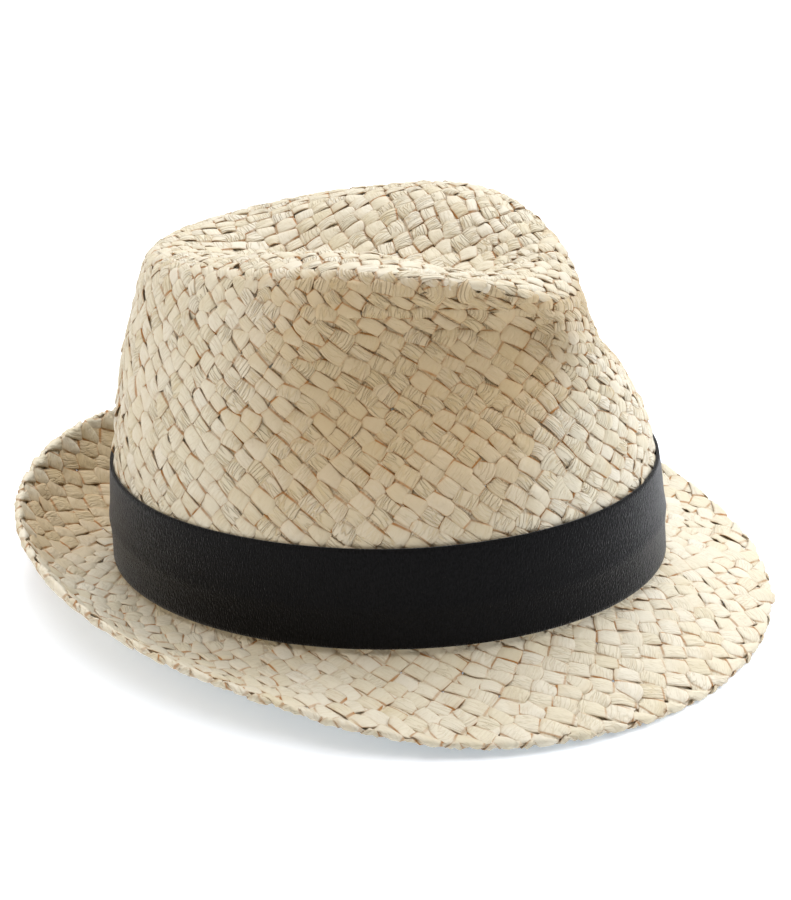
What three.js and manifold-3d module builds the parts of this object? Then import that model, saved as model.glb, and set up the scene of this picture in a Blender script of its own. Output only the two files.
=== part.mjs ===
// A plaited straw trilby with a cloth band, in millimetres, +Z up, its front toward -Y.
// It stands on its brim as it would by itself, so the crown leans back a little.
import * as THREE from 'three';
import { mergeVertices } from 'three/addons/utils/BufferGeometryUtils.js';
import Module from 'manifold-3d';

// Driving sizes
const HEAD_LENGTH = 207.4;    // outside of the crown at its foot, front to back
const HEAD_WIDTH = 173.4;     // outside of the crown at its foot, side to side
const CROWN_HEIGHT = 130;     // from the brim break to the highest section
const BRIM_WIDTH = 45;        // along the straw, from the break to the edge
const STRAW_WALL = 2;         // plaited paper straw
const HEM_WALL = 3.2;         // the same straw folded double at the brim's edge
const HEM_WIDTH = 6;          // how far the fold reaches in from the edge
const BREAK_RADIUS = 2;       // round where the crown turns into the brim
const CREASE_DEPTH = 17;      // of the long crease in the tip
const PINCH_DEPTH = 15.0;     // of each of the two pinches at the front
const BAND_HEIGHT = 36.5;     // width of the cloth band
const BAND_WALL = 1;          // thickness of the cloth band
const BAND_FOOT = 2.2;        // lower edge of the band above the break
const BAND_GAP = 0.3;         // clearance between band and crown
const BAND_RIDGE = 0.7;       // how far the band bulges along its soft fold
const REST_TRIM = 0.3;        // flat worn by the ground on the lowest straw

// How finely the surfaces are divided
const COLUMNS = 64;
const SECTION_STEPS = 22;
const BRIM_STEPS = 8;
const EDGE_STEPS = 4;
const BREAK_STEPS = 3;

// Level sections of the crown from its foot to the middle of the tip. rise is a share of
// CROWN_HEIGHT; front and back are shares of half HEAD_LENGTH, side of half HEAD_WIDTH; taper is
// the share by which the front half narrows toward the ridge between the pinches.
const CROWN_SECTIONS = [
  { rise: 0.000, front: 1.000, back: 1.000, side: 1.000, taper: 0.00 },
  { rise: 0.180, front: 1.000, back: 0.987, side: 0.998, taper: 0.00 },
  { rise: 0.360, front: 0.990, back: 0.963, side: 0.972, taper: 0.05 },
  { rise: 0.580, front: 0.948, back: 0.933, side: 0.869, taper: 0.24 },
  { rise: 0.760, front: 0.890, back: 0.891, side: 0.765, taper: 0.32 },
  { rise: 0.945, front: 0.812, back: 0.832, side: 0.630, taper: 0.25 },
  { rise: 0.976, front: 0.784, back: 0.790, side: 0.588, taper: 0.17 },
  { rise: 1.000, front: 0.540, back: 0.520, side: 0.360, taper: 0.15 },
  { rise: 1.000, front: 0.270, back: 0.260, side: 0.180, taper: 0.00 },
  { rise: 1.000, front: 0.000, back: 0.000, side: 0.000, taper: 0.00 },
];

// Height of the tip along the hat, as a share of CROWN_HEIGHT. along is a share of half
// HEAD_LENGTH, negative toward the front.
const TIP_PROFILE = [
  { along: -0.90, height: 0.790 },
  { along: -0.60, height: 0.944 },
  { along: -0.20, height: 0.992 },
  { along: 0.35, height: 0.941 },
  { along: 0.85, height: 0.880 },
];

// The brim around the hat: turn is degrees from the front, width a share of BRIM_WIDTH; leave and
// arrive are the slopes in degrees at the break and at the edge, upward positive. Between them
// the section is one arc.
const BRIM_TABLE = [
  { turn: 0, width: 0.996, leave: -25.3, arrive: -41.0 },
  { turn: 45, width: 1.009, leave: -25.7, arrive: -17.5 },
  { turn: 90, width: 0.898, leave: -10.0, arrive: 30.7 },
  { turn: 135, width: 0.968, leave: 1.7, arrive: 67.0 },
  { turn: 180, width: 1.010, leave: 7.5, arrive: 79.0 },
];

// The crease in the tip, as shares of half HEAD_LENGTH along and half HEAD_WIDTH across.
const CREASE = { front: -0.56, back: 0.56, fade: 0.27, halfWidth: 0.255, from: 0.70, full: 0.98 };

// Each pinch: where it is deepest, how far it reaches along the crown, above and below, and how
// far it slants forward as it rises. along and length are shares of half HEAD_LENGTH; rise, above
// and below of CROWN_HEIGHT; start, full and turn of half HEAD_WIDTH, out from the centre line.
// A higher flat gives the pinch a flatter floor and a quicker end.
const PINCH = {
  along: -0.57, length: 0.36, flat: 3, slant: 1.1, rise: 0.80, above: 0.13, below: 0.30,
  start: 0.02, full: 0.30, turn: 0.15,
};

// The band from its lower edge up: share of BAND_HEIGHT, and share of BAND_RIDGE by which it
// stands out there along its soft fold.
const BAND_ROWS = [
  { share: 0.00, bulge: 0.0 },
  { share: 0.20, bulge: 0.0 },
  { share: 0.33, bulge: 0.4 },
  { share: 0.42, bulge: 1.0 },
  { share: 0.51, bulge: 0.4 },
  { share: 0.67, bulge: 0.0 },
  { share: 0.83, bulge: 0.0 },
  { share: 1.00, bulge: 0.0 },
];

const HALF_LENGTH = HEAD_LENGTH / 2;
const HALF_WIDTH = HEAD_WIDTH / 2;
const DEGREE = Math.PI / 180;

function smoothStep(low, high, value) {
  const t = Math.min(1, Math.max(0, (value - low) / (high - low)));
  return t * t * (3 - 2 * t);
}

// Reads every column of a table at a place along one of them, on a curve through the rows that
// never overshoots. Where flat is true, the curve is level at both ends.
function readTable(rows, key, place, flat = false) {
  const last = rows.length - 1;
  const keyAt = (i) => (key === null ? i : rows[i][key]);
  const at = Math.min(keyAt(last), Math.max(keyAt(0), place));
  let i = 0;
  while (i < last - 1 && at > keyAt(i + 1)) i += 1;
  const span = keyAt(i + 1) - keyAt(i);
  const t = (at - keyAt(i)) / span;
  const result = {};
  for (const name of Object.keys(rows[0])) {
    const secant = (k) => (rows[k + 1][name] - rows[k][name]) / (keyAt(k + 1) - keyAt(k));
    const tangent = (k) => {
      if (k === 0) return flat ? 0 : secant(0);
      if (k === last) return flat ? 0 : secant(last - 1);
      const before = secant(k - 1);
      const after = secant(k);
      return before * after <= 0 ? 0 : (2 * before * after) / (before + after);
    };
    const rest = 1 - t;
    result[name] = rows[i][name] * rest * rest * (1 + 2 * t)
      + rows[i + 1][name] * t * t * (3 - 2 * t)
      + tangent(i) * span * t * rest * rest
      - tangent(i + 1) * span * t * t * rest;
  }
  return result;
}

// Presses the open crown: the tip's profile, its crease and the two front pinches.
function press(point) {
  const { x, y, z } = point;
  const along = y / HALF_LENGTH;
  const across = x / HALF_WIDTH;
  const rise = z / CROWN_HEIGHT;
  const tip = readTable(TIP_PROFILE, 'along', along).height;
  let newZ = z * (1 + (tip - 1) * smoothStep(0.25, 1, rise));
  const lengthwise = smoothStep(CREASE.front - CREASE.fade, CREASE.front + CREASE.fade, along)
    * (1 - smoothStep(CREASE.back - CREASE.fade, CREASE.back + CREASE.fade, along));
  const crosswise = Math.exp(-((across / CREASE.halfWidth) ** 2));
  newZ -= CREASE_DEPTH * lengthwise * crosswise * smoothStep(CREASE.from, CREASE.full, rise);
  const higher = rise - PINCH.rise;
  const lengths = Math.abs((along - PINCH.along + PINCH.slant * higher) / PINCH.length);
  const heights = higher / (higher > 0 ? PINCH.above : PINCH.below);
  const nearness = Math.exp(-(lengths ** PINCH.flat) - heights ** 2);
  const push = PINCH_DEPTH * nearness * Math.tanh(across / PINCH.turn)
    * smoothStep(PINCH.start, PINCH.full, Math.abs(across));
  return new THREE.Vector3(x - push, y, newZ);
}

// A point of the crown's outside. turn is radians from the front toward +X; row counts table rows.
function crownPoint(turn, row) {
  const section = readTable(CROWN_SECTIONS, null, row);
  const c = Math.cos(turn);
  const reach = HALF_LENGTH * (c > 0 ? section.front : section.back);
  const side = HALF_WIDTH * section.side * (1 - section.taper * Math.max(c, 0) ** 2);
  return press(new THREE.Vector3(side * Math.sin(turn), -reach * c, section.rise * CROWN_HEIGHT));
}

// The row of the crown table at a given height in the upright foot of the crown.
function rowAtHeight(height) {
  let low = 0;
  let high = CROWN_SECTIONS.length - 3;
  while (high - low > 1e-6) {
    const middle = (low + high) / 2;
    if (readTable(CROWN_SECTIONS, null, middle).rise * CROWN_HEIGHT < height) low = middle;
    else high = middle;
  }
  return low;
}

// A point of the brim's upper side, length millimetres out from the break along the straw.
function brimPoint(turn, share) {
  const degrees = Math.abs(Math.atan2(Math.sin(turn), Math.cos(turn))) / DEGREE;
  const row = readTable(BRIM_TABLE, 'turn', degrees, true);
  const foot = crownPoint(turn, 0);
  const out = new THREE.Vector3(foot.x / HALF_WIDTH ** 2, foot.y / HALF_LENGTH ** 2, 0).normalize();
  const length = BRIM_WIDTH * row.width * share;
  const halfBend = (row.arrive - row.leave) * share * DEGREE / 2;
  const chord = Math.abs(halfBend) < 1e-6 ? length : length * Math.sin(halfBend) / halfBend;
  const heading = row.leave * DEGREE + halfBend;
  return foot.addScaledVector(out, chord * Math.cos(heading))
    .add(new THREE.Vector3(0, 0, chord * Math.sin(heading)));
}

// The round at the break, from the crown's wall down and out onto the brim.
function breakPoint(turn, t) {
  const wall = crownPoint(turn, rowAtHeight(BREAK_RADIUS));
  const corner = crownPoint(turn, 0);
  const brim = brimPoint(turn, BREAK_RADIUS / BRIM_WIDTH);
  return wall.multiplyScalar((1 - t) ** 2)
    .addScaledVector(corner, 2 * t * (1 - t))
    .addScaledVector(brim, t * t);
}

// The outside of the straw as a list of rings from beside the middle of the tip to the brim's
// edge, each with the wall's thickness there.
function strawRings() {
  const rings = [];
  const addRing = (wall, place) => {
    const points = [];
    for (let k = 0; k < COLUMNS; k += 1) points.push(place(2 * Math.PI * k / COLUMNS));
    rings.push({ wall, points });
  };
  const topRow = CROWN_SECTIONS.length - 1;
  const footRow = rowAtHeight(BREAK_RADIUS);
  for (let i = 1; i <= SECTION_STEPS; i += 1) {
    const row = topRow + (footRow - topRow) * i / SECTION_STEPS;
    addRing(STRAW_WALL, (turn) => crownPoint(turn, row));
  }
  for (let i = 1; i <= BREAK_STEPS; i += 1) {
    addRing(STRAW_WALL, (turn) => breakPoint(turn, i / BREAK_STEPS));
  }
  const start = BREAK_RADIUS / BRIM_WIDTH;
  const hem = 1 - HEM_WIDTH / BRIM_WIDTH;
  for (let i = 1; i <= BRIM_STEPS; i += 1) {
    const share = start + (hem - start) * i / BRIM_STEPS;
    addRing(STRAW_WALL, (turn) => brimPoint(turn, share));
  }
  const step = (HEM_WALL - STRAW_WALL) / BRIM_WIDTH;
  addRing(HEM_WALL, (turn) => brimPoint(turn, hem + step));
  addRing(HEM_WALL, (turn) => brimPoint(turn, (1 + hem + step) / 2));
  addRing(HEM_WALL, (turn) => brimPoint(turn, 1 - HEM_WALL / 2 / BRIM_WIDTH));
  return rings;
}

// Outward normals of a grid of rings, by central differences.
function ringNormals(rings, middle) {
  return rings.map(({ points }, i) => points.map((point, k) => {
    const before = i === 0 ? middle : rings[i - 1].points[k];
    const after = i === rings.length - 1 ? point : rings[i + 1].points[k];
    const down = after.clone().sub(before);
    const around = points[(k + 1) % COLUMNS].clone().sub(points[(k + COLUMNS - 1) % COLUMNS]);
    return around.cross(down).negate().normalize();
  }));
}

// Builds a closed mesh from rings that run over one side, round the edge and back. Where a cap
// point is given, it closes that end; where it is null, the last ring joins the first.
function closedShell(rings, firstCap, lastCap) {
  const positions = [];
  const index = [];
  rings.forEach((ring) => ring.forEach((p) => positions.push(p.x, p.y, p.z)));
  const at = (ring, k) => ring * COLUMNS + (k % COLUMNS);
  const joins = lastCap ? rings.length - 1 : rings.length;
  for (let i = 0; i < joins; i += 1) {
    const next = (i + 1) % rings.length;
    for (let k = 0; k < COLUMNS; k += 1) {
      index.push(at(i, k), at(next, k), at(next, k + 1));
      index.push(at(i, k), at(next, k + 1), at(i, k + 1));
    }
  }
  [[firstCap, 0, true], [lastCap, rings.length - 1, false]].forEach(([cap, ring, first]) => {
    if (!cap) return;
    const centre = positions.length / 3;
    positions.push(cap.x, cap.y, cap.z);
    for (let k = 0; k < COLUMNS; k += 1) {
      if (first) index.push(centre, at(ring, k), at(ring, k + 1));
      else index.push(centre, at(ring, k + 1), at(ring, k));
    }
  });
  const geometry = new THREE.BufferGeometry();
  geometry.setAttribute('position', new THREE.Float32BufferAttribute(positions, 3));
  geometry.setIndex(index);
  return geometry;
}

function strawGeometry() {
  const rings = strawRings();
  const topOut = crownPoint(0, CROWN_SECTIONS.length - 1);
  const normals = ringNormals(rings, topOut);
  const outside = rings.map((ring) => ring.points);
  const inside = rings.map(({ points, wall }, i) => points.map(
    (point, k) => point.clone().addScaledVector(normals[i][k], -wall),
  ));
  const last = rings.length - 1;
  const edge = [];
  for (let j = 1; j < EDGE_STEPS; j += 1) {
    const angle = Math.PI * j / EDGE_STEPS;
    edge.push(outside[last].map((point, k) => {
      const centre = point.clone().add(inside[last][k]).multiplyScalar(0.5);
      const outward = point.clone().sub(outside[last - 1][k]).normalize();
      return centre
        .addScaledVector(normals[last][k], Math.cos(angle) * HEM_WALL / 2)
        .addScaledVector(outward, Math.sin(angle) * HEM_WALL / 2);
    }));
  }
  const topIn = topOut.clone().setZ(topOut.z - STRAW_WALL);
  return closedShell([...outside, ...edge, ...inside.reverse()], topOut, topIn);
}

function bandGeometry() {
  const ringAt = (row, extra) => {
    const crownRow = rowAtHeight(BAND_FOOT + BAND_HEIGHT * row.share);
    const ring = [];
    for (let k = 0; k < COLUMNS; k += 1) {
      const turn = 2 * Math.PI * k / COLUMNS;
      const point = crownPoint(turn, crownRow);
      const out = new THREE.Vector3(point.x / HALF_WIDTH ** 2, point.y / HALF_LENGTH ** 2, 0).normalize();
      ring.push(point.addScaledVector(out, BAND_GAP + row.bulge * BAND_RIDGE + extra));
    }
    return ring;
  };
  const outer = BAND_ROWS.map((row) => ringAt(row, BAND_WALL)).reverse();
  const inner = BAND_ROWS.map((row) => ringAt(row, 0));
  return closedShell([...outer, ...inner], null, null);
}

// The lean at which the hat rests: the slope of the line that touches the underside both in
// front of and behind the middle of the hat.
function restLean(geometry) {
  const position = geometry.attributes.position;
  const profile = [];
  for (let i = 0; i < position.count; i += 1) profile.push([position.getY(i), position.getZ(i)]);
  profile.sort((a, b) => a[0] - b[0] || a[1] - b[1]);
  const hull = [];
  profile.forEach((point) => {
    while (hull.length > 1) {
      const [y1, z1] = hull[hull.length - 2];
      const [y2, z2] = hull[hull.length - 1];
      if ((y2 - y1) * (point[1] - z1) - (z2 - z1) * (point[0] - y1) > 0) break;
      hull.pop();
    }
    hull.push(point);
  });
  const i = hull.findIndex((point) => point[0] > 0);
  return Math.atan2(hull[i][1] - hull[i - 1][1], hull[i][0] - hull[i - 1][0]);
}

const wasm = await Module();
wasm.setup();

function toManifold(geometry) {
  const merged = mergeVertices(geometry.clone());
  return new wasm.Manifold(new wasm.Mesh({
    numProp: 3,
    vertProperties: new Float32Array(merged.attributes.position.array),
    triVerts: new Uint32Array(merged.index.array),
  }));
}

function fromManifold(solid) {
  const mesh = solid.getMesh();
  const geometry = new THREE.BufferGeometry();
  geometry.setAttribute('position', new THREE.BufferAttribute(new Float32Array(mesh.vertProperties), 3));
  geometry.setIndex(new THREE.BufferAttribute(new Uint32Array(mesh.triVerts), 1));
  return geometry;
}

// Levels the lowest straw where it meets the ground.
function trimBelow(geometry, height) {
  const slab = new THREE.BoxGeometry(2 * HEAD_LENGTH, 2 * HEAD_LENGTH, CROWN_HEIGHT);
  slab.translate(0, 0, height - CROWN_HEIGHT / 2);
  slab.deleteAttribute('normal');
  slab.deleteAttribute('uv');
  return fromManifold(toManifold(geometry).subtract(toManifold(slab)));
}

const straw = strawGeometry();
const band = bandGeometry();

const lean = new THREE.Matrix4().makeRotationX(-restLean(straw));
straw.applyMatrix4(lean);
band.applyMatrix4(lean);
straw.computeBoundingBox();
const box = straw.boundingBox;
const toGround = new THREE.Vector3(0, -(box.min.y + box.max.y) / 2, -box.min.z - REST_TRIM);
straw.translate(toGround.x, toGround.y, toGround.z);
band.translate(toGround.x, toGround.y, toGround.z);

const strawBody = new THREE.Mesh(
  trimBelow(straw, 0),
  new THREE.MeshStandardMaterial({ color: 0xdccdb0, roughness: 0.85, metalness: 0 }),
);
strawBody.name = 'straw_body';

const hatBand = new THREE.Mesh(
  band,
  new THREE.MeshStandardMaterial({ color: 0x1b1a1b, roughness: 0.9, metalness: 0 }),
);
hatBand.name = 'hat_band';

const trilby = new THREE.Group();
trilby.name = 'trilby_hat';
trilby.add(strawBody, hatBand);

export default trilby;
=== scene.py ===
import math

import bpy
import numpy as np
from mathutils import Matrix, Vector


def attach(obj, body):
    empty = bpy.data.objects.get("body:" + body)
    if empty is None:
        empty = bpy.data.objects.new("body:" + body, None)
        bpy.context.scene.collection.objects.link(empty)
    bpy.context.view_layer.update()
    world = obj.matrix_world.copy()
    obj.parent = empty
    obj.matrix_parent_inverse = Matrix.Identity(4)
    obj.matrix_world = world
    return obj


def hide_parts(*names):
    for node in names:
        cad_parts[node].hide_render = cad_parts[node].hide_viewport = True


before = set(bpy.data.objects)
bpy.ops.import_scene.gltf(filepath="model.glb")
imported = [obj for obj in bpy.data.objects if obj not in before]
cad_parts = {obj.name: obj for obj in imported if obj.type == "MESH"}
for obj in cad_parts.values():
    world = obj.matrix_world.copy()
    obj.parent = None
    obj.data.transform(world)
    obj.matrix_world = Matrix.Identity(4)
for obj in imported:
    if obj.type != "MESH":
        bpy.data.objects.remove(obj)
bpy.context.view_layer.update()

# The straw hood: crown and brim are one plaited piece of paper straw, steamed and pressed over a
# block. Two crossing families of flat strips run over and under each other, square over the tip,
# on the slant down the sides and out over the brim, and fold under at its edge.
HEAD_LENGTH = 0.2074
HEAD_WIDTH = 0.1734
CROWN_HEIGHT = 0.130
BRIM_WIDTH = 0.045
CREASE_DEPTH = 0.017
PINCH_DEPTH = 0.015
HALF_LENGTH = HEAD_LENGTH / 2
HALF_WIDTH = HEAD_WIDTH / 2

# Level sections of the crown from its foot to the middle of the tip: row, rise as a share of the
# crown's height, reach to the front, the back and the side as shares of the foot's, and the share
# by which the front half narrows.
CROWN_SECTIONS = np.array([
    (0, 0.000, 1.000, 1.000, 1.000, 0.00),
    (1, 0.180, 1.000, 0.987, 0.998, 0.00),
    (2, 0.360, 0.990, 0.963, 0.972, 0.05),
    (3, 0.580, 0.948, 0.933, 0.869, 0.24),
    (4, 0.760, 0.890, 0.891, 0.765, 0.32),
    (5, 0.945, 0.812, 0.832, 0.630, 0.25),
    (6, 0.976, 0.784, 0.790, 0.588, 0.17),
    (7, 1.000, 0.540, 0.520, 0.360, 0.15),
    (8, 1.000, 0.270, 0.260, 0.180, 0.00),
    (9, 1.000, 0.000, 0.000, 0.000, 0.00),
])
RIM_ROW = 6
MIDDLE_ROW = 9

# Height of the tip along the hat, against the place along half its length, front negative. It comes
# in gently from a share of the crown's height.
TIP_BLEND = 0.25
TIP_PROFILE = np.array([
    (-0.90, 0.790),
    (-0.60, 0.944),
    (-0.20, 0.992),
    (0.35, 0.941),
    (0.85, 0.880),
])

# The brim: degrees from the front, width as a share of BRIM_WIDTH, slope in degrees where it
# leaves the crown and where it arrives at the edge.
BRIM_TABLE = np.array([
    (0, 0.996, -25.3, -41.0),
    (45, 1.009, -25.7, -17.5),
    (90, 0.898, -10.0, 30.7),
    (135, 0.968, 1.7, 67.0),
    (180, 1.010, 7.5, 79.0),
])

# The long crease in the tip, and the pinch on each side of the front: along and length are shares
# of half the hat's length; half_width, start, full and turn of half its width; from, full, rise,
# above and below of the crown's height. The pinch leans forward as it rises by its slant, and a
# higher flat gives it a flatter floor.
CREASE = {
    "front": -0.56, "back": 0.56, "fade": 0.27, "half_width": 0.255, "from": 0.70, "full": 0.98,
}
PINCH = {
    "along": -0.57, "length": 0.36, "flat": 3, "slant": 1.1, "rise": 0.80, "above": 0.13,
    "below": 0.30, "start": 0.02, "full": 0.30, "turn": 0.15,
}


def smooth_step(low, high, value):
    """A share that eases from 0 at low to 1 at high."""
    t = np.clip((value - low) / (high - low), 0, 1)
    return t * t * (3 - 2 * t)


def read_table(table, place, level_ends=False):
    """The other columns of a table at a place along its first one, never overshooting its rows."""
    keys, values = table[:, 0], table[:, 1:]
    secants = np.diff(values, axis=0) / np.diff(keys)[:, None]
    product = secants[:-1] * secants[1:]
    total = np.where(product > 0, secants[:-1] + secants[1:], 1)
    inner = np.where(product > 0, 2 * product / total, 0)
    first, last = (0 * secants[:1], 0 * secants[:1]) if level_ends else (secants[:1], secants[-1:])
    tangents = np.vstack([first, inner, last])
    at = np.clip(np.asarray(place, float), keys[0], keys[-1])
    i = np.clip(np.searchsorted(keys, at, side="right") - 1, 0, len(keys) - 2)
    span = (keys[i + 1] - keys[i])[..., None]
    t = (at - keys[i])[..., None] / span
    rest = 1 - t
    return (
        values[i] * rest ** 2 * (1 + 2 * t) + values[i + 1] * t ** 2 * (3 - 2 * t)
        + tangents[i] * span * t * rest ** 2 - tangents[i + 1] * span * t ** 2 * rest
    )


def crown_point(turn, row):
    """Points of the crown's outside. The turn is in radians from the front toward +X."""
    rise, front, back, side, taper = np.moveaxis(read_table(CROWN_SECTIONS, row), -1, 0)
    c, s = np.cos(turn), np.sin(turn)
    x = HALF_WIDTH * side * (1 - taper * np.maximum(c, 0) ** 2) * s
    y = -HALF_LENGTH * np.where(c > 0, front, back) * c
    along, across = y / HALF_LENGTH, x / HALF_WIDTH
    tip = read_table(TIP_PROFILE, along)[..., 0]
    height = CROWN_HEIGHT * rise * (1 + (tip - 1) * smooth_step(TIP_BLEND, 1, rise))
    fade = CREASE["fade"]
    lengthwise = smooth_step(CREASE["front"] - fade, CREASE["front"] + fade, along)
    lengthwise *= 1 - smooth_step(CREASE["back"] - fade, CREASE["back"] + fade, along)
    crosswise = np.exp(-(across / CREASE["half_width"]) ** 2)
    height -= CREASE_DEPTH * lengthwise * crosswise * smooth_step(CREASE["from"], CREASE["full"], rise)
    higher = rise - PINCH["rise"]
    lengths = (along - PINCH["along"] + PINCH["slant"] * higher) / PINCH["length"]
    heights = higher / np.where(higher > 0, PINCH["above"], PINCH["below"])
    nearness = np.exp(-np.abs(lengths) ** PINCH["flat"] - heights ** 2)
    push = PINCH_DEPTH * nearness * np.tanh(across / PINCH["turn"])
    push *= smooth_step(PINCH["start"], PINCH["full"], np.abs(across))
    return np.stack([x - push, y, height], -1)


def brim_point(turn, share):
    """Points of the brim's upper side, a share of its width out from the crown."""
    degrees = np.degrees(np.abs(np.arctan2(np.sin(turn), np.cos(turn))))
    width, leave, arrive = np.moveaxis(read_table(BRIM_TABLE, degrees, level_ends=True), -1, 0)
    foot = crown_point(turn, 0 * turn)
    out = foot[..., :2] / np.array([HALF_WIDTH ** 2, HALF_LENGTH ** 2])
    out /= np.linalg.norm(out, axis=-1, keepdims=True)
    half_bend = np.radians(arrive - leave) * share / 2
    chord = BRIM_WIDTH * width * share * np.sinc(half_bend / np.pi)
    heading = np.radians(leave) + half_bend
    level = out * (chord * np.cos(heading))[..., None]
    return np.concatenate([foot[..., :2] + level, (chord * np.sin(heading))[..., None]], -1)


# The hat rests on the front of its brim and on the straw behind the crown, so it leans back until
# the line that touches both is level, and stands this far from the middle of its foot.
LEAN = math.radians(5.7237)
STAND = np.array([0, 0.0013785, 0.0119147])


def resting(points):
    """Points of the upright hat as they lie when it rests."""
    x, y, z = np.moveaxis(points, -1, 0)
    y, z = y * math.cos(LEAN) + z * math.sin(LEAN), z * math.cos(LEAN) - y * math.sin(LEAN)
    return np.stack([x, y, z], -1) + STAND


def evenly_spaced(lines, count):
    """Each line of points drawn again with count equal steps."""
    steps = np.linalg.norm(np.diff(lines, axis=1), axis=-1)
    along = np.concatenate([np.zeros((len(lines), 1)), np.cumsum(steps, axis=1)], 1)
    drawn = []
    for line, distance in zip(lines, along):
        wanted = np.linspace(0, distance[-1], count + 1)
        drawn.append(np.stack([np.interp(wanted, distance, line[:, k]) for k in range(3)], -1))
    return np.array(drawn)


def facing(points):
    """The outward normal at each point of a sheet that closes on itself around the hat."""
    at_start = points[1:2] - points[-2:-1]
    around = np.concatenate([at_start, points[2:] - points[:-2], at_start])
    normal = -np.cross(around, np.gradient(points, axis=1))
    size = np.linalg.norm(normal, axis=-1, keepdims=True)
    normal /= np.maximum(size, 1e-12)
    return np.where(size > 1e-9, normal, normal[:-1, 1:2].mean(0))


# The middle of the straw's thickness as one sheet of points over the whole hat: over the tip, down
# the side, out over the brim, round its edge and back along the turned-under hem.
STRAW_WALL = 0.002
HEM_WALL = 0.0032
FOLD_RADIUS = 0.0008
SHEET_TURNS = 360
SHEET_STEPS = 60
TIP_SAMPLES = 160
SIDE_SAMPLES = 240
HEM_STEPS = 8
FOLD_POINTS = 17
sheet_turn = np.linspace(0, 2 * np.pi, SHEET_TURNS + 1)
each_turn = sheet_turn[:, None]


def crown_sheet(start_row, end_row, samples):
    """The crown's outside between two rows of its table, as one line of even steps a turn."""
    rows = np.linspace(start_row, end_row, samples)
    return evenly_spaced(crown_point(each_turn + 0 * rows, rows + 0 * each_turn), SHEET_STEPS)


tip_sheet = crown_sheet(MIDDLE_ROW, RIM_ROW, TIP_SAMPLES)
side_sheet = crown_sheet(RIM_ROW, 0, SIDE_SAMPLES)
brim_shares = np.linspace(0, 1 - HEM_WALL / 2 / BRIM_WIDTH, SHEET_STEPS + 1)
brim_sheet = brim_point(each_turn + 0 * brim_shares, brim_shares + 0 * each_turn)
outside = np.concatenate([tip_sheet, side_sheet[:, 1:], brim_sheet[:, 1:]], 1)
outward = facing(outside)
middle = outside - outward * STRAW_WALL / 2

# The hem: a half turn round the brim's edge, and a few steps back under it.
edge, edge_up = outside[:, -1], outward[:, -1]
edge_out = edge - outside[:, -2]
edge_out /= np.linalg.norm(edge_out, axis=-1, keepdims=True)
fold = []
for angle in np.linspace(0, np.pi, FOLD_POINTS):
    turned = edge_up * math.cos(angle) + edge_out * math.sin(angle)
    fold.append(edge - edge_up * HEM_WALL / 2 + turned * FOLD_RADIUS)
inward = -2 - np.arange(HEM_STEPS)
under = outside[:, inward] - outward[:, inward] * (HEM_WALL / 2 + FOLD_RADIUS)
hem_line = np.concatenate([middle[:, -1:], np.stack(fold, 1), under], 1)
hem_sheet = evenly_spaced(hem_line, SHEET_STEPS)
sheet = resting(np.concatenate([middle, hem_sheet[:, 1:]], 1))
sheet_normal = facing(sheet)

# The plait is laid out on a flat plan of rings and turns, as a net of four-sided meshes. The strips
# cross at the middle of every side of every mesh. A block of meshes lies over the tip and rings of
# them round it, so three meshes meet at the block's corners, as where a basket's base turns up.
# Each ring is turned a little from the last, which slants the plait.
TIP_ACROSS = 12
TIP_ALONG = 18
SIDE_RINGS = 14
BRIM_RINGS = 5
HEM_RINGS = 1
COLUMNS = 2 * (TIP_ACROSS + TIP_ALONG)
TIP_RINGS = (TIP_ACROSS + TIP_ALONG) / 4
BREAK_RING = TIP_RINGS + SIDE_RINGS
EDGE_RING = BREAK_RING + BRIM_RINGS
LAST_RING = EDGE_RING + HEM_RINGS
SLANT = math.radians(1.9)
plan_rings = np.array([0, TIP_RINGS, BREAK_RING, EDGE_RING, LAST_RING])
plan_steps = np.arange(len(plan_rings)) * SHEET_STEPS


def on_sheet(plan):
    """Places and normals, on the resting hat, of points of the plan."""
    turn = np.degrees(np.arctan2(plan[..., 0], -plan[..., 1])) % 360
    i = np.minimum(turn.astype(int), SHEET_TURNS - 1)
    f = (turn - i)[..., None]
    at = np.interp(np.linalg.norm(plan, axis=-1), plan_rings, plan_steps)
    j = np.minimum(at.astype(int), plan_steps[-1] - 1)
    g = (at - j)[..., None]
    found = []
    for values in (sheet, sheet_normal):
        inner = values[i, j] * (1 - f) + values[i + 1, j] * f
        outer = values[i, j + 1] * (1 - f) + values[i + 1, j + 1] * f
        found.append(inner * (1 - g) + outer * g)
    place, normal = found
    return place, normal / np.linalg.norm(normal, axis=-1, keepdims=True)


def plan_of_block(a, b):
    """A corner of the block over the tip, whose square outline becomes the round rim."""
    u, v = 2 * a / TIP_ACROSS - 1, 2 * b / TIP_ALONG - 1
    return TIP_RINGS * np.array([u * math.sqrt(1 - v * v / 2), v * math.sqrt(1 - u * u / 2)])


# The corners of the meshes: once round the block from the middle of its front, then ring by ring out
# to the hem, evened out on the way down, then those inside the block.
border = [(a, 0) for a in range(TIP_ACROSS // 2, TIP_ACROSS)]
border += [(TIP_ACROSS, b) for b in range(TIP_ALONG)]
border += [(a, TIP_ALONG) for a in range(TIP_ACROSS, 0, -1)]
border += [(0, b) for b in range(TIP_ALONG, 0, -1)]
border += [(a, 0) for a in range(TIP_ACROSS // 2)]
corners = [plan_of_block(a, b) for a, b in border]
corner_number = {place: k for k, place in enumerate(border)}
rim_turn = np.unwrap([math.atan2(x, -y) for x, y in corners])
foot_steps = np.linalg.norm(np.diff(crown_point(sheet_turn, 0 * sheet_turn), axis=0), axis=-1)
foot_length = np.concatenate([[0], np.cumsum(foot_steps)])
foot_turn = np.interp(np.arange(COLUMNS) / COLUMNS * foot_length[-1], foot_length, sheet_turn)
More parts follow.
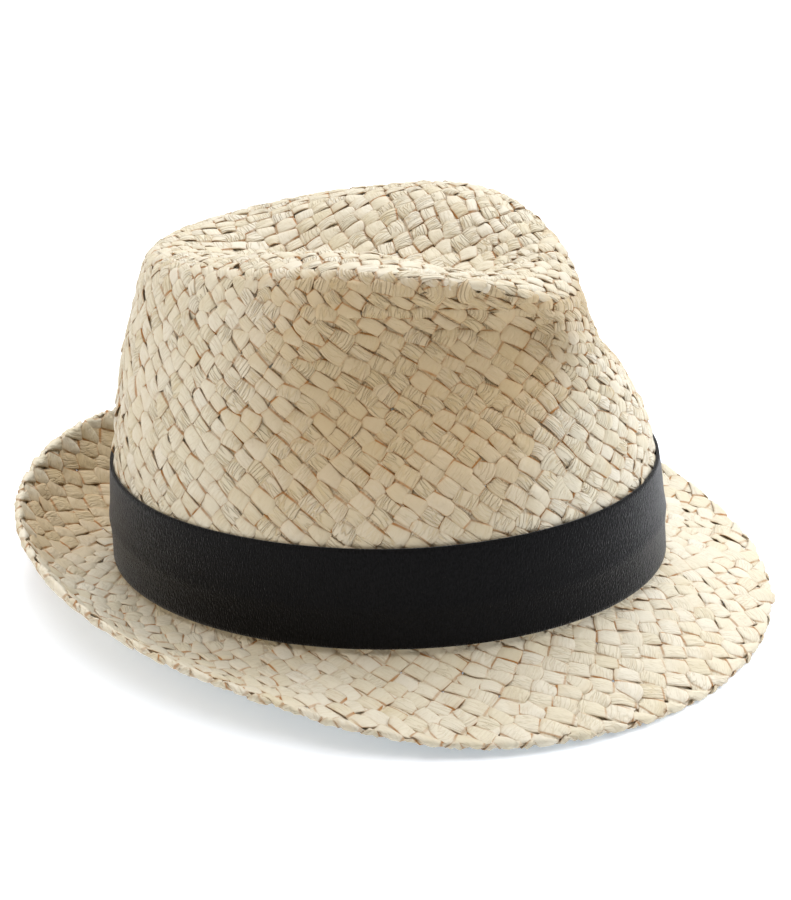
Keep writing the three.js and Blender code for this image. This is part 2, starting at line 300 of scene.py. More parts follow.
for ring in range(1, SIDE_RINGS + BRIM_RINGS + HEM_RINGS + 1):
    even = smooth_step(0, SIDE_RINGS, ring)
    for k in range(COLUMNS):
        turn = rim_turn[k] * (1 - even) + foot_turn[k] * even + SLANT * ring
        corners.append((TIP_RINGS + ring) * np.array([math.sin(turn), -math.cos(turn)]))
for a in range(1, TIP_ACROSS):
    for b in range(1, TIP_ALONG):
        corner_number[a, b] = len(corners)
        corners.append(plan_of_block(a, b))

# Each mesh by its four corners, and a crossing for each side, which the meshes beside it share.
meshes = []
for a in range(TIP_ACROSS):
    for b in range(TIP_ALONG):
        around = [(a, b), (a + 1, b), (a + 1, b + 1), (a, b + 1)]
        meshes.append([corner_number[place] for place in around])
for ring in range(SIDE_RINGS + BRIM_RINGS + HEM_RINGS):
    for k in range(COLUMNS):
        inner, outer, after = ring * COLUMNS, (ring + 1) * COLUMNS, (k + 1) % COLUMNS
        meshes.append([inner + after, inner + k, outer + k, outer + after])

crossing_number = {}
crossings = []
meshes_at = []
sides_of = []
for mesh, around in enumerate(meshes):
    sides_of.append([])
    for side in range(4):
        ends = (around[side], around[(side + 1) % 4])
        key = (min(ends), max(ends))
        if key not in crossing_number:
            crossing_number[key] = len(crossings)
            crossings.append((corners[ends[0]] + corners[ends[1]]) / 2)
            meshes_at.append([])
        meshes_at[crossing_number[key]].append((mesh, side))
        sides_of[mesh].append(crossing_number[key])
crossings = np.array(crossings)

# Each strip is followed from crossing to crossing. It cuts off one corner of every mesh, to the
# left and to the right by turns. It lies on top where it leaves a mesh to the left and below where
# it leaves to the right, which gives the plain over and under.
followed = set()


def follow(mesh, side, step):
    """The crossings of one strip as pairs of crossing number and 1 for on top or -1 for below."""
    path = [(sides_of[mesh][side], -step)]
    while True:
        leave = (side + step) % 4
        followed.update([(mesh, side, leave), (mesh, leave, side)])
        crossing = sides_of[mesh][leave]
        path.append((crossing, step))
        onward = [place for place in meshes_at[crossing] if place[0] != mesh]
        if not onward:
            return path
        mesh, side = onward[0]
        step = -step


strip_paths = []
for places in meshes_at:
    mesh, side = places[0]
    for step in (1, -1):
        if len(places) == 1 and (mesh, side, (side + step) % 4) not in followed:
            strip_paths.append(np.array(follow(mesh, side, step)))

# Hand plaiting is never quite even, so the crossings stray a little.
CROSSING_STRAY = 0.06
rng = np.random.default_rng(7)
crossings += rng.normal(0, CROSSING_STRAY, crossings.shape)

# The strips that meet at each crossing, and the step from crossing to crossing that each takes there.
crossing_place, crossing_normal = on_sheet(crossings)
strips_at = [[] for _ in crossings]
for number, path in enumerate(strip_paths):
    for k, (crossing, _) in enumerate(path):
        before, after = path[max(k - 1, 0), 0], path[min(k + 1, len(path) - 1), 0]
        steps = min(k + 1, len(path) - 1) - max(k - 1, 0)
        strips_at[crossing].append((number, (crossing_place[after] - crossing_place[before]) / steps))

# One strip's section at full size: place across from -1 to 1, and height above the middle of the
# strip as a share of its thickness. The top is the first seven points.
STRIP_SECTION = np.array([
    (-1.00, -0.10),
    (-0.94, 0.18),
    (-0.68, 0.39),
    (0.00, 0.50),
    (0.68, 0.39),
    (0.94, 0.18),
    (1.00, -0.10),
    (0.80, -0.42),
    (-0.80, -0.42),
])
STRIP_THICKNESS = 0.0010

# A strip rises and sinks from crossing to crossing on a wave. The wave's power below 1 holds it
# level on a crossing and makes it dive quickly to the next, and it narrows by a share as it dives.
STRIP_RISE = 0.00066
WAVE_POWER = 0.52
STRIP_NARROWING = 0.12
LOWEST_STRAW = 0.0002

# A strip fills a little more than the room between its neighbours, so no light shows through. The
# strips that lean one way down the side are wider than those that cross them, as in a plait drawn
# tighter one way. The brim is ironed flatter and closer than the crown.
STRIP_FILL = 1.12
FAMILY_CONTRAST = 0.17
BRIM_CONTRAST_LOSS = 0.8
BRIM_FILL_GAIN = 0.06
BRIM_FLATNESS = 0.3
BRIM_PLEAT_LOSS = 0.6
ROOM_LIMITS = (0.0035, 0.0135)

# How far each crossing strays from the rule: the width as a share, by crossing and by strip, the
# place across and the height in metres, and the roll about the strip's own line as a slope.
WIDTH_STRAY = 0.06
STRIP_STRAY = 0.03
SWAY_STRAY = 0.0003
LIFT_STRAY = 0.00012
ROLL_STRAY = 0.09

# Where a strip is drawn between two crossings: closer together where it dives under the next one.
# The seams carry painted shade, brown where the strip dives, within a share of the step, and along
# its edges, from a share of its half width, where shade falls between the strips. Each pair is where
# the painted shade starts and where it is full.
CROSSING_STEPS = np.array([0, 0.20, 0.34, 0.43, 0.475, 0.525, 0.57, 0.66, 0.80])
DIVE_PAINTED_SHADE = (0.08, 0.02)
EDGE_PAINTED_SHADE = (0.92, 1.0)

# Painted shade browns the straw in the hollows: in the pinches under the crest, and behind, inside
# the brim's upturned curl, where it also stands for warm light bounced in the curl. Each pair is where
# that starts and where it is full: along, as a share of half the hat's length, rise, as a share of
# the crown's height, and ring, on the plan.
PINCH_PAINTED_SHADE = {
    "from_back": (0.32, -0.22),
    "from_front": (-0.90, -0.74),
    "rise": (0.10, 0.60),
    "ring": (TIP_RINGS - 0.3, TIP_RINGS + 0.4),
}
BACK_CURL_PAINTED_SHADE = {
    "along": (0.75, 1.10),
    "from_break": (BREAK_RING, BREAK_RING + 1),
    "from_edge": (EDGE_RING, EDGE_RING - 1),
}

# The strips are dealt out to this many meshes. Each starts at another place of the straw's patterns,
# a stride further on, and its tint is partly the strip's own and partly its cell's.
STRIP_GROUPS = 5
PATTERN_STRIDE = 0.37
CELL_TINT_SHARE = 0.6


def room_beside(number, path):
    """The room between the neighbours at each crossing of a strip, square to the strip."""
    room = np.zeros(len(path))
    for k, (crossing, _) in enumerate(path):
        own = [way for which, way in strips_at[crossing] if which == number][0]
        other = [way for which, way in strips_at[crossing] if which != number]
        other = other[0] if other else strips_at[crossing][-1][1]
        room[k] = np.linalg.norm(np.cross(other, own)) / np.linalg.norm(own)
    return np.clip(room, *ROOM_LIMITS)


def lean_at(crossing):
    """How much a strip leans to one side at its crossings as it runs down: -1 to 1."""
    way = np.gradient(crossing_place[crossing], axis=0)
    ringwise = np.cross(crossing_place[crossing] * [1, 1, 0], [0, 0, 1])
    downward = np.cross(crossing_normal[crossing], ringwise)
    leaning = (way * ringwise).sum(-1) * (way * downward).sum(-1)
    leaning /= np.maximum((way ** 2).sum(-1) * (ringwise ** 2).sum(-1), 1e-12)
    return np.clip(2 * leaning, -1, 1)


def smooth_line(corners, k, t):
    """Points at shares t past corners k, on a smooth line through them all."""
    ahead = np.vstack([2 * corners[0] - corners[1], corners, 2 * corners[-1] - corners[-2]])
    p0, p1, p2, p3 = (ahead[k + n] for n in range(4))
    u = t[:, None]
    return 0.5 * (
        2 * p1 + (p2 - p0) * u + (2 * p0 - 5 * p1 + 4 * p2 - p3) * u ** 2
        + (3 * p1 - p0 - 3 * p2 + p3) * u ** 3
    )


def across_strip(plan_line, centre, up):
    """The direction across a strip, as a step on the plan, from how the plan lies on the hat."""
    step = 0.02    # rings of the plan
    plan_x, _ = on_sheet(plan_line + np.array([step, 0]))
    plan_y, _ = on_sheet(plan_line + np.array([0, step]))
    along = np.gradient(centre, axis=0)
    along -= up * (along * up).sum(-1, keepdims=True)
    along /= np.linalg.norm(along, axis=-1, keepdims=True)
    across = np.cross(up, along)
    slope = np.stack([plan_x - centre, plan_y - centre], -1) / step
    return np.einsum("nij,nj->ni", np.linalg.pinv(slope, rcond=0.05), across)


def painted_hollow_shade_at(centre, plan_line):
    """How much painted shade browns each point of a strip, in the pinches and the back curl, from 0 to 1.
    """
    upright = centre - STAND
    y = upright[:, 1] * math.cos(LEAN) - upright[:, 2] * math.sin(LEAN)
    z = upright[:, 2] * math.cos(LEAN) + upright[:, 1] * math.sin(LEAN)
    along, rise = y / HALF_LENGTH, z / CROWN_HEIGHT
    ring = np.linalg.norm(plan_line, axis=-1)
    # Painted shade in the pinches under the crest.
    in_pinch = smooth_step(*PINCH_PAINTED_SHADE["from_back"], along) * smooth_step(*PINCH_PAINTED_SHADE["from_front"], along)
    in_pinch *= smooth_step(*PINCH_PAINTED_SHADE["rise"], rise) * smooth_step(*PINCH_PAINTED_SHADE["ring"], ring)
    # Painted shade and painted warm bounce inside the upturned curl at the back of the brim.
    on_back = smooth_step(*BACK_CURL_PAINTED_SHADE["along"], along) * smooth_step(*BACK_CURL_PAINTED_SHADE["from_break"], ring)
    on_back *= smooth_step(*BACK_CURL_PAINTED_SHADE["from_edge"], ring)
    return np.maximum(in_pinch, on_back)


around_section = len(STRIP_SECTION)
group_parts = [[] for _ in range(STRIP_GROUPS)]
for number, path in enumerate(strip_paths):
    count = len(path)
    crossing, on_top = path[:, 0], path[:, 1].astype(float)
    on_brim = smooth_step(BREAK_RING - 0.5, BREAK_RING + 0.5, np.linalg.norm(crossings[crossing], axis=-1))
    fill = STRIP_FILL + BRIM_FILL_GAIN * on_brim
    fill = fill + FAMILY_CONTRAST * (1 - BRIM_CONTRAST_LOSS * on_brim) * lean_at(crossing)
    width = room_beside(number, path) * fill
    width *= (1 + rng.normal(0, WIDTH_STRAY, count)) * (1 + rng.normal(0, STRIP_STRAY))
    sway = rng.normal(0, SWAY_STRAY, count)
    lift = rng.normal(0, LIFT_STRAY, count)
    roll = rng.normal(0, ROLL_STRAY, count)
    cell_tint = rng.random(count)
    cell_pleats = rng.random(count)
    strip_tint = rng.random()

    # Rows of points along the strip: the crossing each follows, its share of the way to the next,
    # and the strip's height, which holds level on the crossings and swings quickly between them.
    k = np.append(np.repeat(np.arange(count - 1), len(CROSSING_STEPS)), count - 2)
    t = np.append(np.tile(CROSSING_STEPS, count - 1), 1.0)
    nearest = np.where(t < 0.5, k, k + 1)
    eased = t * t * (3 - 2 * t)
    width, sway, lift, roll, brim_share = (
        values[k] * (1 - eased) + values[k + 1] * eased for values in (width, sway, lift, roll, on_brim)
    )
    swing = np.cos(np.pi * t)
    height = on_top[k] * np.sign(swing) * np.abs(swing) ** WAVE_POWER * STRIP_RISE
    height = height * (1 - BRIM_FLATNESS * brim_share) + lift
    half = width / 2 * (1 - STRIP_NARROWING * (1 - np.abs(swing)))

    # The section is laid across each row on the plan, lifted off the sheet, and rolled a little.
    plan_line = smooth_line(crossings[crossing], k, t)
    centre, up = on_sheet(plan_line)
    offset = STRIP_SECTION[None, :, 0] * half[:, None] + sway[:, None]
    section_plan = plan_line[:, None] + across_strip(plan_line, centre, up)[:, None] * offset[..., None]
    section_place, section_up = on_sheet(section_plan)
    rise = height[:, None] + STRIP_SECTION[None, :, 1] * STRIP_THICKNESS + roll[:, None] * offset
    points = section_place + section_up * rise[..., None]
    points[..., 2] = np.maximum(points[..., 2], LOWEST_STRAW)

    rows = len(points)
    first = np.arange(rows - 1)[:, None] * around_section + np.arange(around_section)
    beside = np.roll(first, -1, axis=1)
    faces = np.stack([first, first + around_section, beside + around_section, beside], -1).reshape(-1, 4)
    run = np.concatenate([[0], np.cumsum(np.linalg.norm(np.diff(centre, axis=0), axis=-1))])
    uv = np.stack([offset, run[:, None] + number * PATTERN_STRIDE + 0 * offset], -1)
    # Painted shade in the seams: brown where the strip dives under the next one and along its edges.
    dive_painted_shade = smooth_step(*DIVE_PAINTED_SHADE, np.abs(t - 0.5))
    edge_painted_shade = smooth_step(*EDGE_PAINTED_SHADE, np.abs(STRIP_SECTION[:, 0]))
    tint = CELL_TINT_SHARE * cell_tint[nearest] + (1 - CELL_TINT_SHARE) * strip_tint
    pleats = cell_pleats[nearest] * (1 - BRIM_PLEAT_LOSS * brim_share)
    group_parts[number % STRIP_GROUPS].append({
        "points": points.reshape(-1, 3),
        "faces": faces,
        "caps": [
            list(range(around_section)),
            list(range(rows * around_section - 1, (rows - 1) * around_section - 1, -1)),
        ],
        "uv": uv.reshape(-1, 2),
        "shade": np.maximum(dive_painted_shade[:, None], edge_painted_shade[None, :]).reshape(-1),
        "tint": np.repeat(tint, around_section),
        "pleats": np.repeat(pleats, around_section),
        "painted_hollow_shade": np.repeat(painted_hollow_shade_at(centre, plan_line), around_section),
    })


def add_node(tree, kind, inputs=None, **settings):
    """Adds a shader node; inputs that are sockets are linked, the others set."""
    node = tree.nodes.new("ShaderNode" + kind)
    for name, value in settings.items():
        setattr(node, name, value)
    for name, value in (inputs or {}).items():
        if isinstance(value, bpy.types.NodeSocket):
            tree.links.new(value, node.inputs[name])
        else:
            node.inputs[name].default_value = value
    return node


def linear(code):
    """An sRGB colour written in hex as linear red, green, blue and alpha."""
    shares = [int(code[i:i + 2], 16) / 255 for i in (1, 3, 5)]
    return [s / 12.92 if s <= 0.04045 else ((s + 0.055) / 1.055) ** 2.4 for s in shares] + [1]


def new_material(name):
    """A material with an empty tree, and the tree and its output."""
    material = bpy.data.materials.new(name)
    material.use_nodes = True
    tree = material.node_tree
    tree.nodes.clear()
    return material, tree, tree.nodes.new("ShaderNodeOutputMaterial")


# Paper straw: kraft paper slit, twisted flat and lightly bleached. It is matt with a faint sheen,
# pleated lengthwise by the twisting and crumpled by the plaiting, and browner in patches. The brown
# in the seams, the pleat valleys, the pinches and the back curl of the brim is painted shade.
straw, tree, output = new_material("twisted_paper_straw")
uv = add_node(tree, "UVMap", uv_map="along_strip").outputs["UV"]
shade = add_node(tree, "Attribute", attribute_name="shade").outputs["Fac"]
tint = add_node(tree, "Attribute", attribute_name="tint").outputs["Fac"]
pleated = add_node(tree, "Attribute", attribute_name="pleats").outputs["Fac"]
painted_hollow_shade = add_node(tree, "Attribute", attribute_name="painted_hollow_shade").outputs["Fac"]

# Each pattern's scale is one over its size across the strip and along it, in metres. Pleats are
# about 1.3 mm apart, twice the real ones' spacing so that they show, and 8 mm long.
PLEATS = (1 / 0.0013, 1 / 0.008, 1)
BROWN_PATCHES = (1 / 0.009, 1 / 0.020, 1)
CRUMPLES = (1 / 0.0028, 1 / 0.0045, 1)
FIBRES = (1 / 0.0003, 1 / 0.0015, 1)
pleat_place = add_node(tree, "Mapping", {"Vector": uv, "Scale": PLEATS}).outputs["Vector"]
pleat_noise = add_node(tree, "TexNoise", {
    "Vector": pleat_place,
    "Scale": 1.0,
    "Detail": 0.6,
    "Distortion": 0.35,
})
patch_place = add_node(tree, "Mapping", {"Vector": uv, "Scale": BROWN_PATCHES}).outputs["Vector"]
patches = add_node(tree, "TexNoise", {"Vector": patch_place, "Scale": 1.0, "Detail": 2.0}).outputs["Fac"]
crumple_place = add_node(tree, "Mapping", {"Vector": uv, "Scale": CRUMPLES}).outputs["Vector"]
crumples = add_node(tree, "TexNoise", {"Vector": crumple_place, "Scale": 1.0, "Detail": 2.0}).outputs["Fac"]
fibre_place = add_node(tree, "Mapping", {"Vector": uv, "Scale": FIBRES}).outputs["Vector"]
fibres = add_node(tree, "TexNoise", {"Vector": fibre_place, "Scale": 1.0, "Detail": 1.0}).outputs["Fac"]

# The pleats are sharp valleys with painted shade in them, strong in some cells and nearly
# absent in others.
from_middle = add_node(tree, "Math", {0: pleat_noise.outputs["Fac"], 1: 0.5}, operation="SUBTRACT")
fold_height = add_node(tree, "Math", {0: from_middle.outputs[0]}, operation="ABSOLUTE")
folds = add_node(tree, "MapRange", {
    "Value": fold_height.outputs[0],
    "From Min": 0.005,
    "From Max": 0.08,
}).outputs[0]
fold_strength = add_node(tree, "MapRange", {
    "Value": pleated,
    "From Max": 0.75,
    "To Min": 0.12,
    "To Max": 1.0,
}).outputs[0]
valley = add_node(tree, "MapRange", {
    "Value": folds,
    "From Max": 0.8,
    "To Min": 0.5,
    "To Max": 0.0,
}).outputs[0]
painted_pleat_shade = add_node(tree, "Math", {0: valley, 1: fold_strength}, operation="MULTIPLY").outputs[0]
patch_strength = add_node(tree, "MapRange", {
    "Value": patches,
    "From Min": 0.55,
    "From Max": 0.8,
    "To Min": 0.0,
    "To Max": 0.35,
}).outputs[0]
hollow_shade_strength = add_node(tree, "MapRange", {"Value": painted_hollow_shade, "To Min": 0.0, "To Max": 0.62}).outputs[0]
# The painted seam shade is stronger in some patches than in others.
patchy_seam_painted_shade = add_node(tree, "MapRange", {
    "Value": patches,
    "From Min": 0.38,
    "From Max": 0.64,
    "To Min": 0.2,
    "To Max": 1.0,
}).outputs[0]
painted_seam_shade = add_node(tree, "Math", {0: shade, 1: patchy_seam_painted_shade}, operation="MULTIPLY").outputs[0]

# A mix of colours takes its share at socket 0 and the two colours at 6 and 7.
strip_colour = add_node(tree, "Mix", {
    0: tint,
    6: linear("#D8D0BD"),
    7: linear("#D0C5A9"),
}, data_type="RGBA")
patched = add_node(tree, "Mix", {
    0: patch_strength,
    6: strip_colour.outputs[2],
    7: linear("#BDA574"),
}, data_type="RGBA")
# Painted shade in the pinches, and painted shade with warm bounce inside the back curl of the brim.
with_painted_hollow_shade = add_node(tree, "Mix", {
    0: hollow_shade_strength,
    6: patched.outputs[2],
    7: linear("#AB8A50"),
}, data_type="RGBA")
# Painted shade in the pleat valleys.
pleat_painted_shaded = add_node(tree, "Mix", {
    0: painted_pleat_shade,
    6: with_painted_hollow_shade.outputs[2],
    7: linear("#B39A6B"),
}, data_type="RGBA")
# Painted shade in the seams, a warm brown where shade falls between the strips.
with_painted_seam_shade = add_node(tree, "Mix", {
    0: painted_seam_shade,
    6: pleat_painted_shaded.outputs[2],
    7: linear("#A06A2A"),
}, data_type="RGBA")
pleat_bump = add_node(tree, "Bump", {"Height": folds, "Strength": fold_strength, "Distance": 0.00032})
crumple_bump = add_node(tree, "Bump", {
    "Height": crumples,
    "Strength": 0.7,
    "Distance": 0.0009,
    "Normal": pleat_bump.outputs["Normal"],
})
bump = add_node(tree, "Bump", {
    "Height": fibres,
    "Strength": 0.3,
    "Distance": 0.0001,
    "Normal": crumple_bump.outputs["Normal"],
})
surface = add_node(tree, "BsdfPrincipled", {
    "Base Color": with_painted_seam_shade.outputs[2],
    "Roughness": add_node(tree, "MapRange", {"Value": patches, "To Min": 0.5, "To Max": 0.7}).outputs[0],
    "Specular IOR Level": 0.4,
    "Normal": bump.outputs["Normal"],
})
tree.links.new(surface.outputs["BSDF"], output.inputs["Surface"])


def mesh_object(name, points, faces, material):
    """A smooth mesh object with one material, in the scene."""
    mesh = bpy.data.meshes.new(name)
    mesh.from_pydata(points, [], faces)
    mesh.materials.append(material)
    mesh.shade_smooth()
    made = bpy.data.objects.new(name, mesh)
    bpy.context.scene.collection.objects.link(made)
    return made


for group, parts in enumerate(group_parts):
    start = 0
    faces = []
    for part in parts:
        faces.extend((part["faces"] + start).tolist())
        faces.extend([[n + start for n in cap] for cap in part["caps"]])
        start += len(part["points"])
    points = np.concatenate([part["points"] for part in parts])
    strips = mesh_object(f"straw_strips_{group + 1}", points.tolist(), faces, straw)
    corner_points = np.zeros(len(strips.data.loops), int)
    strips.data.loops.foreach_get("vertex_index", corner_points)
    layer = strips.data.uv_layers.new(name="along_strip")
    layer.data.foreach_set("uv", np.concatenate([part["uv"] for part in parts])[corner_points].ravel())
    for name in ("shade", "tint", "pleats", "painted_hollow_shade"):
        values = strips.data.attributes.new(name, "FLOAT", "POINT")
        values.data.foreach_set("value", np.concatenate([part[name] for part in parts]))
    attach(strips, "root")
    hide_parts("straw_body")

# The band: a flat strip of black cotton twill, folded to its width, pulled on round the foot of
# the crown and lapped and stitched at the centre back. It bags a little where the crown turns in.
BAND_HEIGHT = 0.0365
BAND_WALL = 0.001
BAND_FOOT = 0.0022
BAND_GAP = 0.0003
BAND_RIDGE = 0.0007
BAND_TURNS = 256
BAND_STEPS = 24
HEIGHT_SAMPLES = 400
TOP_ROW = 3
LAP_LENGTH = 0.014
LAP_CLIMB = (1.5, 0.8)
LAP_CUT = (0.98, 1.02)
SEAM_PLACE = 0.8

# The band from its lower edge up: share of its height, and share of BAND_RIDGE by which it bags.
BAND_ROWS = np.array([
    (0.00, 0.00),
    (0.20, 0.00),
    (0.33, 0.40),
    (0.42, 1.00),
    (0.51, 0.40),
    (0.67, 0.00),
    (0.83, 0.00),
    (1.00, 0.00),
])

# The upper end lies on the lower one at the middle of the back. It climbs on gently where the end
# under it begins and stops at a cut edge, which has two extra turns of its own. Climb, cut and seam
# are given in half laps from the middle of the back.
half_lap = LAP_LENGTH / 2 / HALF_WIDTH
climb_start, climb_end = (np.pi - share * half_lap for share in LAP_CLIMB)
cut_start, cut_end = (np.pi + share * half_lap for share in LAP_CUT)
band_turn = np.linspace(0, 2 * np.pi, BAND_TURNS, endpoint=False)
band_turn = np.sort(np.append(band_turn, [cut_start, cut_end]))
lapped = smooth_step(climb_start, climb_end, band_turn) * smooth_step(cut_end, cut_start, band_turn)
rise_rows = np.linspace(0, TOP_ROW, HEIGHT_SAMPLES)
shares = np.linspace(0, 1, BAND_STEPS + 1)
band_lines = crown_point(band_turn[:, None] + 0 * rise_rows, rise_rows + 0 * band_turn[:, None])
outer, inner = [], []
for line, angle, lap in zip(band_lines, band_turn, lapped):
    wanted = BAND_FOOT + shares * BAND_HEIGHT
    at = np.stack([np.interp(wanted, line[:, 2], line[:, n]) for n in range(3)], -1)
    rises = np.gradient(at, axis=0)
    around = np.array([math.cos(angle) * HALF_WIDTH, math.sin(angle) * HALF_LENGTH, 0])
    out = np.cross(around, rises)
    out /= np.linalg.norm(out, axis=-1, keepdims=True)
    bulge = read_table(BAND_ROWS, shares)[:, :1] * BAND_RIDGE
    inner.append(at + out * (BAND_GAP + bulge))
    outer.append(at + out * (BAND_GAP + BAND_WALL * (1 + lap) + bulge))
outer, inner = resting(np.array(outer)), resting(np.array(inner))
ring = np.concatenate([outer, inner[:, ::-1]], 1)
rows = ring.shape[1]
first = np.arange(len(band_turn))[:, None] * rows + np.arange(rows)
after = np.roll(first, -1, axis=0)
faces = np.stack([first, after, np.roll(after, -1, axis=1), np.roll(first, -1, axis=1)], -1).reshape(-1, 4)

# Black cotton twill: nearly black, with a soft fuzz that greys it where the light grazes it. Its
# ribs run up the band and are 0.5 mm apart, a little coarser than real ones so that they show.
RIBS = (1 / 0.0005, 1 / 0.0005, 1 / 0.00125)
twill, tree, output = new_material("cotton_twill")
place = add_node(tree, "TexCoord").outputs["Object"]
rib_place = add_node(tree, "Mapping", {"Vector": place, "Scale": RIBS}).outputs["Vector"]
weave = add_node(tree, "TexNoise", {"Vector": rib_place, "Scale": 1.0, "Detail": 2.0}).outputs["Fac"]
creases = add_node(tree, "TexNoise", {"Vector": place, "Scale": 40.0, "Detail": 2.0})
cloth_colour = add_node(tree, "Mix", {
    0: add_node(tree, "MapRange", {"Value": weave, "From Min": 0.35, "From Max": 0.65}).outputs[0],
    6: linear("#020202"),
    7: linear("#100F10"),
}, data_type="RGBA")
weave_bump = add_node(tree, "Bump", {"Height": weave, "Strength": 1.0, "Distance": 0.0005})
bump = add_node(tree, "Bump", {
    "Height": creases.outputs["Fac"],
    "Strength": 0.25,
    "Distance": 0.001,
    "Normal": weave_bump.outputs["Normal"],
})
surface = add_node(tree, "BsdfPrincipled", {
    "Base Color": cloth_colour.outputs[2],
    "Roughness": add_node(tree, "MapRange", {"Value": weave, "To Min": 0.45, "To Max": 0.6}).outputs[0],
    "Specular IOR Level": 0.08,
    "Sheen Weight": 0.36,
    "Sheen Roughness": 0.3,
    "Normal": bump.outputs["Normal"],
})
tree.links.new(surface.outputs["BSDF"], output.inputs["Surface"])
band = mesh_object("twill_band", ring.reshape(-1, 3).tolist(), faces.tolist(), twill)
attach(band, "root")
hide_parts("hat_band")

# The lapped end is sewn down with one row of short stitches in black thread, up along its cut
# edge. Each stitch lies on the band and dips into it at both ends.
STITCHES = 10
STITCH_LENGTH = 0.0024
STITCH_ROWS = 7
STITCH_DIP = 2.2
THREAD_RADIUS = 0.00022
THREAD_SIDES = 6
seam = int(np.searchsorted(band_turn, np.pi + SEAM_PLACE * half_lap))
stitch_points, stitch_faces = [], []
for stitch in range(STITCHES):
    step = int((stitch + 0.5) / STITCHES * BAND_STEPS)
    low, high = outer[seam, step], outer[seam, step + 1]
    outward_there = np.cross(outer[seam + 1, step] - outer[seam - 1, step], high - low)
    outward_there /= np.linalg.norm(outward_there)
    rising = (high - low) / np.linalg.norm(high - low)
    sideways = np.cross(rising, outward_there)
    base = len(stitch_points)
    for place in np.linspace(-1, 1, STITCH_ROWS):
        height = THREAD_RADIUS * (1 - STITCH_DIP * place ** 4)
        stitch_middle = low + rising * place * STITCH_LENGTH / 2 + outward_there * height
        for angle in np.arange(THREAD_SIDES) * 2 * np.pi / THREAD_SIDES:
            around = sideways * math.cos(angle) + outward_there * math.sin(angle)
            stitch_points.append(stitch_middle + around * THREAD_RADIUS)
    for n in range(STITCH_ROWS - 1):
        for m in range(THREAD_SIDES):
            a = base + THREAD_SIDES * n + m
            b = base + THREAD_SIDES * n + (m + 1) % THREAD_SIDES
            stitch_faces.append([a, b, b + THREAD_SIDES, a + THREAD_SIDES])
    stitch_faces.append([base + m for m in reversed(range(THREAD_SIDES))])
    stitch_faces.append([base + THREAD_SIDES * (STITCH_ROWS - 1) + m for m in range(THREAD_SIDES)])
stitches = mesh_object("lap_stitches", [list(p) for p in stitch_points], stitch_faces, twill)
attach(stitches, "root")
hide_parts("hat_band")

# The table under the hat: a sheet of opal white acrylic, lit a little from below by cool tubes, so
# that it is white all over and shadows on it stay pale and grey. It is large enough to fill the view.
FLOOR_REACH = 12
acrylic, tree, output = new_material("opal_acrylic")
haze = add_node(tree, "TexNoise", {"Scale": 3.0, "Detail": 2.0})
surface = add_node(tree, "BsdfPrincipled", {
    "Base Color": linear("#F7F7F7"),
    "Roughness": add_node(tree, "MapRange", {
        "Value": haze.outputs["Fac"],
        "To Min": 0.75,
        "To Max": 0.85,
    }).outputs[0],
    "Specular IOR Level": 0.2,
    "Emission Color": linear("#D8EAFF"),
    "Emission Strength": 0.36,
})
tree.links.new(surface.outputs["BSDF"], output.inputs["Surface"])
floor = mesh_object(
    "table_top",
    [(x * FLOOR_REACH, y * FLOOR_REACH, 0) for x, y in ((-1, -1), (1, -1), (1, 1), (-1, 1))],
    [(0, 1, 2, 3)],
    acrylic,
)

# Soft studio light: a wide diffuser high up behind the hat and a white ceiling over it, a soft box
# on the right that whitens its front, and a weaker, warmer one on the left. The room's warm walls
# fill in the rest. A sun has a spread in degrees, a soft box a size in metres.
SOFT_LIGHTS = [
    {
        "name": "diffuser", "kind": "SUN", "azimuth": 106, "elevation": 50,
        "colour": "#F2F7FF", "strength": 2.1, "spread": 45,
    },
    {
        "name": "ceiling", "kind": "SUN", "azimuth": 119, "elevation": 84,
        "colour": "#F6F9FF", "strength": 2.1, "spread": 70,
    },
    {
        "name": "right_box", "kind": "AREA", "azimuth": 35, "elevation": 22,
        "colour": "#F6F9FF", "strength": 8.4, "size": 0.8,
    },
    {
        "name": "left_box", "kind": "AREA", "azimuth": -140, "elevation": 28,
        "colour": "#FFF3E4", "strength": 4.1, "size": 0.8,
    },
]
BOX_DISTANCE = 1.3
WALL_COLOUR = "#FFF6EA"
WALL_LIGHT = 0.27


def direction(azimuth, elevation):
    """The unit vector toward a place at an azimuth from -Y and an elevation, both in radians."""
    return Vector((
        math.sin(azimuth) * math.cos(elevation),
        -math.cos(azimuth) * math.cos(elevation),
        math.sin(elevation),
    ))


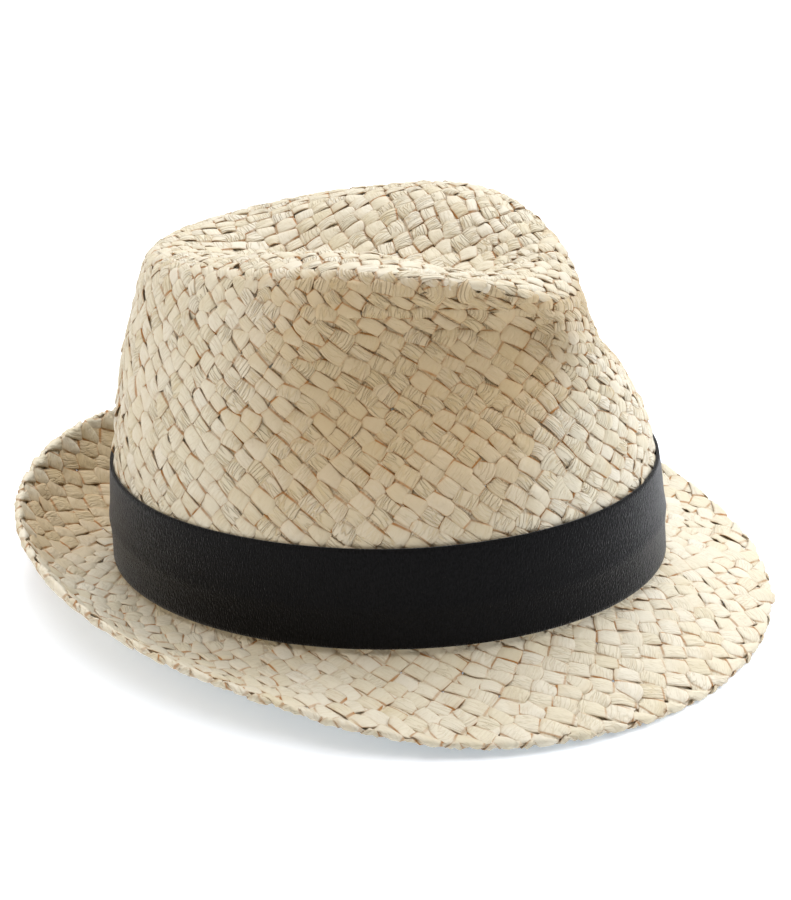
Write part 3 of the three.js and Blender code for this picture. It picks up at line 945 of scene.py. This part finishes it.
crown_middle = Vector((0, 0, 0.05))
for light in SOFT_LIGHTS:
    toward = direction(math.radians(light["azimuth"]), math.radians(light["elevation"]))
    data = bpy.data.lights.new(light["name"], light["kind"])
    data.energy = light["strength"]
    data.color = linear(light["colour"])[:3]
    if light["kind"] == "SUN":
        data.angle = math.radians(light["spread"])
    else:
        data.shape = "SQUARE"
        data.size = light["size"]
    lamp = bpy.data.objects.new(light["name"], data)
    lamp.location = crown_middle + toward * BOX_DISTANCE
    lamp.rotation_mode = "QUATERNION"
    lamp.rotation_quaternion = toward.to_track_quat("Z", "Y")
    bpy.context.scene.collection.objects.link(lamp)
world = bpy.data.worlds.new("room")
world.use_nodes = True
world.node_tree.nodes["Background"].inputs["Color"].default_value = linear(WALL_COLOUR)
world.node_tree.nodes["Background"].inputs["Strength"].default_value = WALL_LIGHT
bpy.context.scene.world = world
bpy.context.scene.view_settings.view_transform = "Standard"

# The camera stands at the hat's left front, a little above it, with a long lens. Its place, roll
# and lens were fitted to the outline of the hat, the edges of its band and its crest.
VIEW_AZIMUTH = math.radians(-60.97)
VIEW_ELEVATION = math.radians(25.24)
VIEW_ROLL = math.radians(1.01)
VIEW_DISTANCE = 1.274
VIEW_TARGET = Vector((0.01137, 0.00476, 0.04563))
LENS = 139.7
backward = direction(VIEW_AZIMUTH, VIEW_ELEVATION)
level_right = Vector((math.cos(VIEW_AZIMUTH), math.sin(VIEW_AZIMUTH), 0))
level_up = backward.cross(level_right)
right = level_right * math.cos(VIEW_ROLL) + level_up * math.sin(VIEW_ROLL)
up = level_up * math.cos(VIEW_ROLL) - level_right * math.sin(VIEW_ROLL)
lens = bpy.data.cameras.new("camera")
lens.lens = LENS
lens.sensor_width = 36
camera = bpy.data.objects.new("camera", lens)
camera.matrix_world = Matrix((
    (right.x, up.x, backward.x, VIEW_TARGET.x + backward.x * VIEW_DISTANCE),
    (right.y, up.y, backward.y, VIEW_TARGET.y + backward.y * VIEW_DISTANCE),
    (right.z, up.z, backward.z, VIEW_TARGET.z + backward.z * VIEW_DISTANCE),
    (0, 0, 0, 1),
))
bpy.context.scene.collection.objects.link(camera)
bpy.context.scene.camera = camera

bpy.context.view_layer.update()
